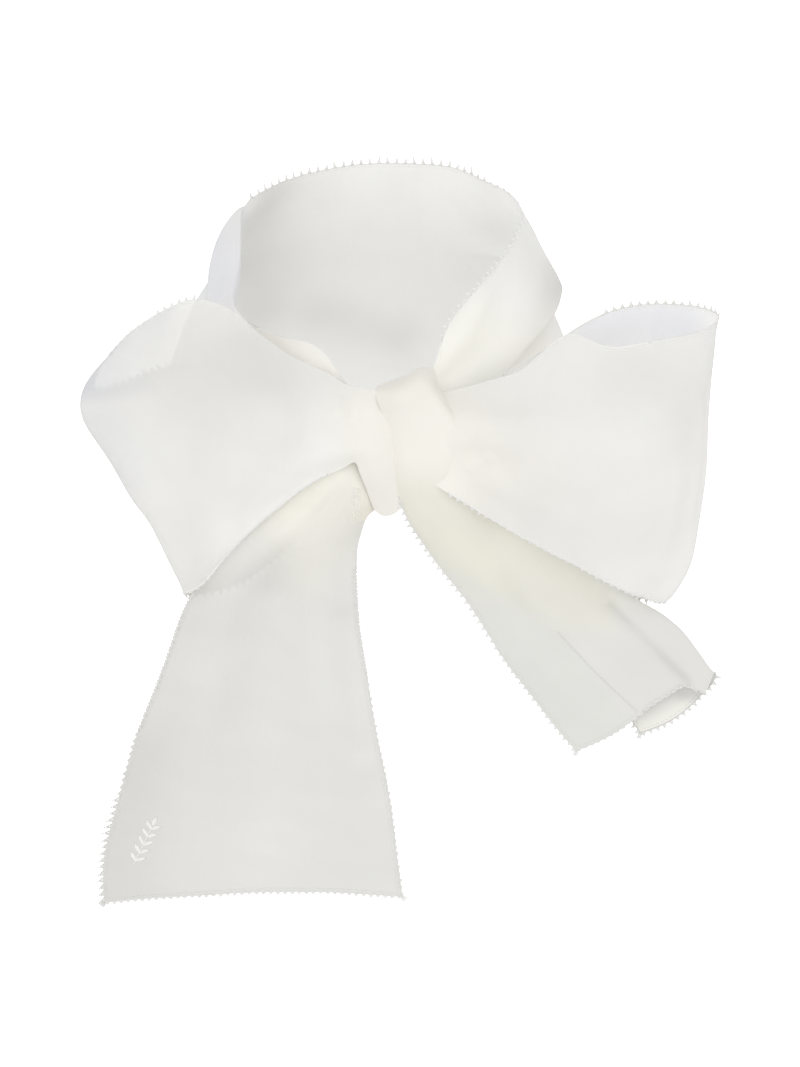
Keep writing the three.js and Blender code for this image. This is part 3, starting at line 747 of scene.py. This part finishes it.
class Sheet:
    """A sheet of cloth: its points, its outer normals, and its sections' names and places."""

    def __init__(self, name, sections, random):
        smooth, self.knots = smooth_sheet(list(sections.values()), FINENESS[name])
        self.name = name
        self.sections = list(sections)
        self.grid = pressed(name, smooth, random)
        self.normals = grid_normals(self.grid) * OUTER_FACE[name]

    def edge(self, edge):
        """Points along one edge or at one share of the width, the way out there and the normal."""
        if edge == "top":
            line, inner, normal = self.grid[:, 0], self.grid[:, 1], self.normals[:, 0]
        elif edge == "bottom":
            line, inner, normal = self.grid[:, -1], self.grid[:, -2], self.normals[:, -1]
        elif edge == "end":
            line, inner, normal = self.grid[-1], self.grid[-2], self.normals[-1]
        else:
            column = int(edge * (self.grid.shape[1] - 1))
            normal = self.normals[:, column]
            lift = normal * HEM["thick"]
            line, inner = self.grid[:, column] + lift, self.grid[:, column - 1] + lift
        tangent = unit(np.gradient(line, axis=0))
        outward = line - inner
        outward = unit(outward - (outward * tangent).sum(axis=1, keepdims=True) * tangent)
        return line, outward, normal

    def stretch(self, edge, start, stop):
        """The same between two sections, or at the end between two shares of its width."""
        if edge == "end":
            last = self.grid.shape[1] - 1
        else:
            last = self.grid.shape[0] - 1
            start, stop = (self.knots[self.sections.index(name)] for name in (start, stop))
        return [field[int(start * last) : int(stop * last) + 1] for field in self.edge(edge)]

    def lay(self, points):
        """The same points moved onto the sheet, and the sheet's normal at each."""
        flat = self.grid.reshape(-1, 3)
        nearest = [int(np.argmin(((flat - point) ** 2).sum(axis=1))) for point in points]
        up = self.normals.reshape(-1, 3)[nearest]
        off = ((points - flat[nearest]) * up).sum(axis=1, keepdims=True)
        return points - up * off, up


def along_line(line, fields, places):
    """Each field read at the places, given as lengths along the line."""
    reach = distances(line[:, None])
    return [np.stack([np.interp(places, reach, field[:, k]) for k in range(3)], axis=1) for field in fields]


def line_length(line):
    """Length of a line of points."""
    return np.linalg.norm(np.diff(line, axis=0), axis=1).sum()


def tubes(paths, side_a, side_b, sides=THREAD_SIDES):
    """Points and quads of many tubes with the same number of rings, with closed ends."""
    count, rings = paths.shape[:2]
    angles = math.tau * np.arange(sides) / sides
    points = paths[:, :, None] + side_a[:, :, None] * np.cos(angles)[None, None, :, None]
    points = points + side_b[:, :, None] * np.sin(angles)[None, None, :, None]
    index = np.arange(count * rings * sides).reshape(count, rings, sides)
    turned = np.roll(index, -1, axis=2)
    quads = np.stack([index[:, :-1], turned[:, :-1], turned[:, 1:], index[:, 1:]], axis=-1).reshape(-1, 4)
    first, last = index[:, 0, ::-1].reshape(-1, sides), index[:, -1].reshape(-1, sides)
    return points.reshape(-1, 3), quads, first, last


def loop_paths(foot, rise, way, heights, broad=1):
    """Paths of thread loops on their feet, with each path's ring directions."""
    share = np.linspace(0, 1, PICOT_STEPS + 1)
    climb = np.sin(math.pi * share) ** PICOT["fullness"]
    spread = broad * PICOT["foot"] / 2 * np.cos(math.pi * share) * (1 - PICOT["narrowing"] * climb)
    thick = (PICOT["tip"] + (PICOT["root"] - PICOT["tip"]) * (1 - climb))[None, :, None]
    ring_a = unit(np.cross(rise, way))[:, None] * thick
    paths, rings_a, rings_b = [], [], []
    for size in PICOT_SIZES:
        lift = size * heights[:, None] * climb - PICOT["sunk"]
        path = foot[:, None] + rise[:, None] * lift[..., None] + way[:, None] * size * spread[None, :, None]
        paths.append(path)
        rings_a.append(ring_a)
        rings_b.append(unit(np.cross(np.gradient(path, axis=1), ring_a)) * thick)
    return tuple(np.concatenate(group) for group in (paths, rings_a, rings_b))


def picot_row(line, outward, normal, manner, random):
    """Thread loops along one stretch of an edge."""
    bend, lean, size, broad, pitch = manner
    length = line_length(line)
    count = max(int(length / pitch), 1)
    places = (np.arange(count) + 0.5) * length / count
    tangent = unit(np.gradient(line, axis=0))
    foot, out, up, way = along_line(line, (line, outward, normal, tangent), places)
    bends = np.radians(bend + random.normal(0, PICOT["tilt"], count))[:, None]
    leans = np.radians(lean + random.normal(0, PICOT["tilt"], count))[:, None]
    rise = unit(out) * np.cos(bends) - unit(up) * np.sin(bends)
    rise = unit(rise * np.cos(leans) + way * np.sin(leans))
    heights = size * PICOT["height"] * (1 + random.normal(0, PICOT["uneven"], count))
    return loop_paths(foot, rise, way, heights, broad)


def corner_tuft(corner, end_way, side_way):
    """A small fan of thread loops at a corner of a tail."""
    count = TUFT["loops"]
    turns = math.pi / 2 * (np.arange(count) + 0.5)[:, None] / count
    rise = unit(end_way * np.cos(turns) + side_way * np.sin(turns))
    way = unit(side_way * np.cos(turns) - end_way * np.sin(turns))
    feet = np.repeat(corner[None], count, axis=0)
    return loop_paths(feet, rise, way, np.full(count, PICOT["height"] * TUFT["size"]))


def joined(parts):
    """Points and faces of several sets of tubes as one."""
    points, faces, shift = [], [], 0
    for part_points, *part_faces in parts:
        points.append(part_points)
        for group in part_faces:
            faces.extend((group + shift).tolist())
        shift += len(part_points)
    return np.concatenate(points), faces


def hem_roll(line, outward, normal):
    """The rolled hem along one stretch of an edge."""
    roll = line - outward * HEM["width"] / 2
    width = outward * HEM["width"] / 2
    return tubes(roll[None], width[None], (normal * HEM["thick"] / 2)[None], HEM_SIDES)


def hem_stitches(line, outward, normal):
    """The line of stitches inside the hem, on both faces of the cloth."""
    parts = []
    step = HEM["stitch"] + HEM["gap"]
    seam = line - outward * HEM["stitch_line"]
    starts = np.arange(step, line_length(seam) - step, step)
    share = np.linspace(0, 1, STITCH_STEPS)
    places = (starts[:, None] + share * HEM["stitch"]).ravel()
    path, up, side = along_line(seam, (seam, normal, outward), places)
    arch = np.tile(np.sin(math.pi * share), len(starts))[:, None] * HEM["thread"]
    for face in (1, -1):
        lifted = (path + face * up * arch).reshape(len(starts), STITCH_STEPS, 3)
        ring_a = (up * HEM["thread"]).reshape(lifted.shape)
        ring_b = (side * HEM["thread"]).reshape(lifted.shape)
        parts.append(tubes(lifted, ring_a, ring_b))
    return parts


def laid_loops(sheet):
    """A short row of thin thread loops that lie flat on the sheet, on their own line of thread."""
    thick = LAID_LOOPS["thread"]
    ends = LAID_LOOPS["start"], LAID_LOOPS["stop"]
    line, up = sheet.lay(np.linspace(*ends, LAID_LOOPS["steps"]))
    line = line + up * thick
    way = unit(np.gradient(line, axis=0))
    out = unit(np.cross(up, way))
    length = line_length(line)
    count = int(length / PICOT["pitch"])
    share = np.linspace(0, 1, PICOT_STEPS + 1)
    reach = LAID_LOOPS["size"] * PICOT["height"] * np.sin(math.pi * share) ** LAID_LOOPS["fullness"]
    slide = LAID_LOOPS["spread"] * PICOT["pitch"] * np.cos(math.pi * share)
    parts = [tubes(line[None], (out * thick)[None], (up * thick)[None])]
    for place in (np.arange(count) + 0.5) * length / count:
        foot, rise, lift, along = (field[0] for field in along_line(line, (line, out, up, way), [place]))
        path = foot + rise * reach[:, None] + along * slide[:, None]
        ring = unit(np.cross(np.gradient(path, axis=0), lift)) * thick
        parts.append(tubes(path[None], ring[None], np.tile(lift * thick, (1, len(path), 1))))
    return parts


def sheet_trims(sheet, random):
    """The sheet's hems, stitches, thread loops and sprig, each as one object with its finish."""
    name = sheet.name
    hems, stitches, loops, shaded_loops = [], [], [], []
    shaded = SHADED_EDGE.get(name)
    for edge, start, stop, bend, lean, size in EDGES[name]:
        fields = sheet.stretch(edge, start, stop)
        hems.append(hem_roll(*fields))
        stitches.extend(hem_stitches(*fields))
        if size:
            manner = (bend, lean, size, BROAD.get(name, 1), PITCHES.get(name, PICOT["pitch"]))
            row = shaded_loops if edge == shaded else loops
            row.append(tubes(*picot_row(*fields, manner, random)))
    if name in GLIMPSED:
        stitches.extend(hem_stitches(*sheet.stretch(*GLIMPSED[name])))
    if name in TAILS:
        end_out = sheet.edge("end")[1]
        for edge, column in (("top", 0), ("bottom", -1)):
            side_out = sheet.edge(edge)[1][-1]
            tuft = corner_tuft(sheet.grid[-1, column], end_out[column], side_out)
            row = shaded_loops if edge == shaded else loops
            row.append(tubes(*tuft))
    # the tails take the darker hem and stitch colours, painted shade
    darker = "tail_" if name in TAILS else ""
    kinds = {
        "hem": (hems, darker + "hem"),
        "stitches": (stitches, darker + "stitch"),
        "picots": (loops, "thread"),
        # loops on the shaded edge are painted darker, in the tails' hem colour
        "shaded_picots": (shaded_loops, "tail_hem"),
        "laid_loops": (laid_loops(sheet) if name == LAID_LOOPS["sheet"] else [], "stitch"),
        "sprig": (sprig(sheet) if name == SPRIG["sheet"] else [], "stitch"),
    }
    return {
        to_mesh(name + "_" + kind, *joined(parts)): finish
        for kind, (parts, finish) in kinds.items()
        if parts
    }


def leaf_stitches(foot, way, side, length):
    """Start and stop of each slanted stitch across one leaf."""
    count = int(length / SPRIG["pitch"])
    share = (np.arange(count) + 0.5)[:, None] / count
    centre = foot + way * length * share
    half = SPRIG["width"] / 2 * np.sin(math.pi * share ** SPRIG["fullness"])
    slant = math.radians(SPRIG["slant"])
    across = way * math.cos(slant) + side * math.sin(slant)
    return centre - across * half, centre + across * half


def sprig(sheet):
    """A stem with pairs of leaves in satin stitch, on the sheet's outer face."""
    (foot, tip), (up, _) = sheet.lay(np.array([SPRIG["foot"], SPRIG["tip"]], float))
    way = unit(tip - foot)
    side = unit(np.cross(up, way))
    stem = np.linalg.norm(tip - foot) - SPRIG["leaf"]
    steps = np.arange(0, stem, SPRIG["stem"])[:, None]
    starts = [foot + way * steps]
    stops = [foot + way * np.minimum(steps + SPRIG["overlap"] * SPRIG["stem"], stem)]
    angle = math.radians(SPRIG["angle"])
    leaves = []
    for pair in range(SPRIG["pairs"]):
        place = foot + way * stem * (pair + SPRIG["first_pair"]) / SPRIG["pairs"]
        for sign in (1, -1):
            leaf_way = way * math.cos(angle) + sign * side * math.sin(angle)
            leaves.append((place, leaf_way, np.cross(up, leaf_way)))
    leaves.append((foot + way * stem, way, side))
    for leaf in leaves:
        first, last = leaf_stitches(*leaf, SPRIG["leaf"])
        starts.append(first)
        stops.append(last)
    starts, stops = np.concatenate(starts), np.concatenate(stops)
    share = np.linspace(0, 1, STITCH_STEPS)[None, :, None]
    runs = (stops - starts)[:, None]
    paths = starts[:, None] + runs * share
    laid, lift = (field.reshape(paths.shape) for field in sheet.lay(paths.reshape(-1, 3)))
    ring_b = unit(np.cross(np.repeat(runs, STITCH_STEPS, axis=1), lift)) * SPRIG["thread"]
    raised = laid + lift * SPRIG["rise"] * np.sin(math.pi * share)
    return [tubes(raised, lift * SPRIG["thread"], ring_b)]


# The knot's core: how finely it is divided, and the soft folds that run down it
KNOT_DIVISIONS = (60, 72)
KNOT_FOLDS = {"count": 7, "depth": 0.045, "twist": 1.1}


def knot_core():
    """Closed round body through the knot's sections, with folds that turn as they run down."""
    rows = np.array(list(KNOT.values()), float)
    knots = knots_of(rows[:, None, :3])
    down, round_steps = KNOT_DIVISIONS
    share = np.linspace(0, 1, down + 1)
    centre = natural_spline(knots, rows[:, :3], share)
    size = natural_spline(knots, rows[:, 3:], share)
    angle = math.tau * np.arange(round_steps) / round_steps
    wave = np.cos(KNOT_FOLDS["count"] * (angle[None] + KNOT_FOLDS["twist"] * share[:, None]))
    swell = 1 + KNOT_FOLDS["depth"] * wave * np.sin(math.pi * share)[:, None]
    x = centre[:, :1] + size[:, :1] * swell * np.cos(angle)
    y = centre[:, 1:2] + size[:, 1:] * swell * np.sin(angle)
    z = np.repeat(centre[:, 2:], round_steps, axis=1)
    points = np.stack([x, y, z], axis=-1).reshape(-1, 3)
    index = np.arange(len(points)).reshape(down + 1, round_steps)
    turned = np.roll(index, -1, axis=1)
    quads = np.stack([index[:-1], index[1:], turned[1:], turned[:-1]], axis=-1).reshape(-1, 4)
    faces = quads.tolist() + [index[0].tolist(), index[-1, ::-1].tolist()]
    colours = np.tile(TONES["warm"], (len(points), 1))
    places = np.stack([np.arctan2(y, x).ravel() * size.mean(), z.ravel()], axis=1)
    return to_mesh("knot_core", points, faces, colours, places)


# The cloth's weave, its fine crumples, the clouds in its tone, its shine and how much shows
# through it. The weave's pitch is in millimetres and the bumps' distances are in metres.
WEAVE_PITCH = 0.42
WEAVE_BUMP = {"Strength": 0.05, "Distance": 0.0001}
CRUMPLE_NOISE = {"Scale": 160, "Detail": 4.0, "Roughness": 0.55}
CRUMPLE_BUMP = {"Strength": 0.25, "Distance": 0.0006}
CLOUD_NOISE = {"Scale": 26, "Detail": 3.0}
CLOUD_SPAN = {"From Min": 0.3, "From Max": 0.7, "To Min": 0.982, "To Max": 1.018}
CLOTH_SHINE = {"Roughness": 0.6, "IOR": 1.4, "Sheen Weight": 0.25, "Sheen Roughness": 0.35}
SEE_THROUGH = 0.2

# The thread's twist, its shine and its colours
TWIST_WAVE = {"Scale": 420.0, "Distortion": 1.5}
TWIST_BUMP = {"Strength": 0.3, "Distance": 0.0001}
TWIST_SPAN = {"To Min": 0.94, "To Max": 1.0}
THREAD_SHINE = {"Roughness": 0.5, "Sheen Weight": 0.3}
THREAD_COLOURS = {
    "thread": (0.88, 0.875, 0.85),
    "hem": (0.86, 0.855, 0.83),
    # painted shade: the tails' hem and stitch colours are darker to match the tails' darker tone, and the
    # loops on a shaded edge take the hem colour
    "tail_hem": (0.74, 0.737, 0.71),
    "stitch": (0.95, 0.945, 0.925),
    "tail_stitch": (0.80, 0.797, 0.77),
}


class Nodes:
    """A material's node tree, built one node at a time."""

    def __init__(self, name):
        self.material = bpy.data.materials.new(name)
        self.material.use_nodes = True
        self.tree = self.material.node_tree
        self.tree.nodes.clear()

    def add(self, kind, inputs=None, **settings):
        """Adds a node. Each of its inputs is given as a value or as another node's output."""
        node = self.tree.nodes.new(kind)
        for key, value in settings.items():
            setattr(node, key, value)
        for key, value in (inputs or {}).items():
            if isinstance(value, bpy.types.NodeSocket):
                self.tree.links.new(value, node.inputs[key])
            else:
                node.inputs[key].default_value = value
        return node

    def math(self, operation, *operands):
        """Result of one sum on sockets and numbers."""
        return self.add("ShaderNodeMath", dict(enumerate(operands)), operation=operation).outputs[0]

    def varied(self, colour, texture, span):
        """A colour that a texture makes a little darker and lighter, within a span of levels."""
        level = self.add("ShaderNodeMapRange", {"Value": texture.outputs["Fac"]} | span)
        inputs = {0: colour, "Scale": level.outputs["Result"]}
        return self.add("ShaderNodeVectorMath", inputs, operation="SCALE").outputs["Vector"]

    def mixed(self, share, first, second):
        """Two shaders mixed by the share of the second."""
        return self.add("ShaderNodeMixShader", {0: share, 1: first.outputs[0], 2: second.outputs[0]})

    def finished(self, shader):
        """The material, with the shader as its surface."""
        self.add("ShaderNodeOutputMaterial", {"Surface": shader.outputs[0]})
        return self.material


def weave_height(nodes):
    """Height of a plain weave, from the cloth's own coordinates."""
    cloth = nodes.add("ShaderNodeUVMap", uv_map="cloth")
    split = nodes.add("ShaderNodeSeparateXYZ", {0: cloth.outputs["UV"]})
    turn = math.pi / (WEAVE_PITCH * MM)
    warp, weft = (
        nodes.math("ABSOLUTE", nodes.math("SINE", nodes.math("MULTIPLY", split.outputs[way], turn)))
        for way in ("X", "Y")
    )
    return nodes.math("MAXIMUM", warp, weft)


def organza(name):
    """Crisp sheer cloth: soft sheen, light that comes through it, and a little see-through."""
    nodes = Nodes(name)
    coords = {"Vector": nodes.add("ShaderNodeTexCoord").outputs["Object"]}
    tint = nodes.add("ShaderNodeAttribute", attribute_name="tint").outputs
    cloud = nodes.add("ShaderNodeTexNoise", coords | CLOUD_NOISE)
    crumple = nodes.add("ShaderNodeTexNoise", coords | CRUMPLE_NOISE)
    soft_bump = nodes.add("ShaderNodeBump", {"Height": crumple.outputs["Fac"]} | CRUMPLE_BUMP)
    weave = {"Height": weave_height(nodes), "Normal": soft_bump.outputs["Normal"]}
    bump = nodes.add("ShaderNodeBump", weave | WEAVE_BUMP).outputs["Normal"]
    colour = nodes.varied(tint["Color"], cloud, CLOUD_SPAN)
    surface = nodes.add("ShaderNodeBsdfPrincipled", {"Base Color": colour, "Normal": bump} | CLOTH_SHINE)
    glow = nodes.add("ShaderNodeBsdfTranslucent", {"Color": colour, "Normal": bump})
    clear = nodes.add("ShaderNodeBsdfTransparent")
    cloth = nodes.mixed(tint["Alpha"], surface, glow)
    clear_share = nodes.math("MULTIPLY", tint["Alpha"], SEE_THROUGH)
    return nodes.finished(nodes.mixed(clear_share, cloth, clear))


def thread(name):
    """Twisted thread with a soft shine, in the pale colour listed for it, darker on the tails as painted
    shade.
    """
    nodes = Nodes(name)
    coords = {"Vector": nodes.add("ShaderNodeTexCoord").outputs["Object"]}
    twist = nodes.add("ShaderNodeTexWave", coords | TWIST_WAVE)
    bump = nodes.add("ShaderNodeBump", {"Height": twist.outputs["Fac"]} | TWIST_BUMP).outputs["Normal"]
    colour = nodes.varied(THREAD_COLOURS[name], twist, TWIST_SPAN)
    inputs = {"Base Color": colour, "Normal": bump} | THREAD_SHINE
    return nodes.finished(nodes.add("ShaderNodeBsdfPrincipled", inputs))


# Camera: what it looks at, from how far and from how many degrees above, its sensor and its lens,
# with lengths in millimetres
TARGET = (8.6, -50, -103)
DISTANCE = 1600
ELEVATION = 15
SENSOR = 36
LENS = 150


def set_camera():
    """Looks at the bow from the front and a little above."""
    data = bpy.data.cameras.new("camera")
    data.sensor_fit = "HORIZONTAL"
    data.sensor_width = SENSOR
    data.lens = LENS
    camera = placed("camera", data)
    tilt = math.radians(ELEVATION)
    back = np.array([0, -math.cos(tilt), math.sin(tilt)])
    camera.location = (np.array(TARGET) + DISTANCE * back) * MM
    camera.rotation_euler = (math.pi / 2 - tilt, 0, 0)
    bpy.context.scene.camera = camera


# Lights: where each stands in metres, its size, its power and its colour
LIGHTS = {
    "key": ((-0.3, -2.5, 0.15), 2.2, 15, (1.0, 0.995, 0.975)),
    "left": ((-2.2, -1.0, -0.1), 1.6, 5, (1.0, 1.0, 1.0)),
    "right": ((2.2, -1.0, -0.2), 1.6, 5, (1.0, 1.0, 1.0)),
    "top": ((0.2, -0.9, 2.0), 1.8, 5, (1.0, 1.0, 1.0)),
}
SKY = (0.78, 0.78, 0.785, 1)

# The floor: how far below the neck it lies and half its width, in metres, and its finish
FLOOR_LEVEL = -0.75
FLOOR_HALF = 12
FLOOR_FINISH = {
    "Base Color": (0.95, 0.95, 0.95, 1),
    "Roughness": 0.9,
    "Emission Color": (1, 1, 1, 1),
    "Emission Strength": 0.9,
}


def set_lights():
    """Large soft lights, each turned to the bow, in an even pale room."""
    aim = np.array(TARGET) * MM
    for name, (place, size, power, colour) in LIGHTS.items():
        data = bpy.data.lights.new(name, "AREA")
        data.shape = "DISK"
        data.size = size
        data.energy = power
        data.color = colour
        lamp = placed(name, data)
        lamp.location = place
        run = aim - np.array(place)
        pitch = math.atan2(math.hypot(run[0], run[1]), -run[2])
        lamp.rotation_euler = (pitch, 0, math.atan2(run[1], run[0]) - math.pi / 2)
    world = bpy.data.worlds.new("room")
    world.use_nodes = True
    sky = world.node_tree.nodes["Background"]
    sky.inputs["Color"].default_value = SKY
    sky.inputs["Strength"].default_value = 1.0
    bpy.context.scene.world = world
    bpy.context.scene.view_settings.view_transform = "Standard"


def set_floor():
    """Plain pale floor, far below the scarf."""
    corners = [(-1, -1), (1, -1), (1, 1), (-1, 1)]
    points = [(FLOOR_HALF * x / MM, FLOOR_HALF * y / MM, FLOOR_LEVEL / MM) for x, y in corners]
    floor = to_mesh("floor", points, [(0, 1, 2, 3)])
    nodes = Nodes("pale_floor")
    floor.data.materials.append(nodes.finished(nodes.add("ShaderNodeBsdfPrincipled", FLOOR_FINISH)))
    floor.visible_diffuse = False
    floor.visible_glossy = False


# Each sheet's record slot, how it is held, its flat length along the strip and how much of that stretch is
# drawn: what is wound up inside the knot is the core's. Lengths are in millimetres.
SHEETS = {
    "left_loop": ("organza_loop", "gathered", 295, 0.85),
    "right_loop": ("organza_loop", "gathered", 318, 0.9),
    "left_tail": ("organza_tail", "hung", 230, 0.85),
    "right_tail": ("organza_tail", "folded", 237, 0.66),
    "neck_band": ("organza_band", "gathered", 499, 1),
}


def dress_sheet(name, sections, materials):
    """Fine cloth with its hem and thread loops in place of one plain sheet."""
    random = np.random.default_rng(SEED + list(SHEETS).index(name))
    sheet = Sheet(name, sections, random)
    points = sheet.grid.reshape(-1, 3)
    faces = grid_faces(*sheet.grid.shape[:2])
    places = cloth_places(sheet.grid).reshape(-1, 2)
    cloth = to_mesh(name + "_cloth", points, faces, tinted(name, sheet.grid), places)
    cloth.data.materials.append(materials["organza"])
    trims = sheet_trims(sheet, random)
    for trim, finish in trims.items():
        trim.data.materials.append(materials[finish])
    for item in (cloth, *trims):
        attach(item, "root")
    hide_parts(name)


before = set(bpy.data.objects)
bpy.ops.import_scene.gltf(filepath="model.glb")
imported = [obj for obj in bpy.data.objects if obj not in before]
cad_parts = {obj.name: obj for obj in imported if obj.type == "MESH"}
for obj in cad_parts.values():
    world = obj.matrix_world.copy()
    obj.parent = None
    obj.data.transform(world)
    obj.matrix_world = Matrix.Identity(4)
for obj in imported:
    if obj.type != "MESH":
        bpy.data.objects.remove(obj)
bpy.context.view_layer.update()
set_camera()
set_lights()
set_floor()
finishes = {"organza": organza("organza")} | {name: thread(name) for name in THREAD_COLOURS}
band = dict(zip(NECK_BAND, band_sections()))
for sheet_name, table in {
    "left_loop": LEFT_LOOP,
    "right_loop": RIGHT_LOOP,
    "left_tail": LEFT_TAIL,
    "right_tail": RIGHT_TAIL,
    "neck_band": band,
}.items():
    dress_sheet(sheet_name, table, finishes)
core = knot_core()
core.data.materials.append(finishes["organza"])
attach(core, "root")
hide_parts("knot")
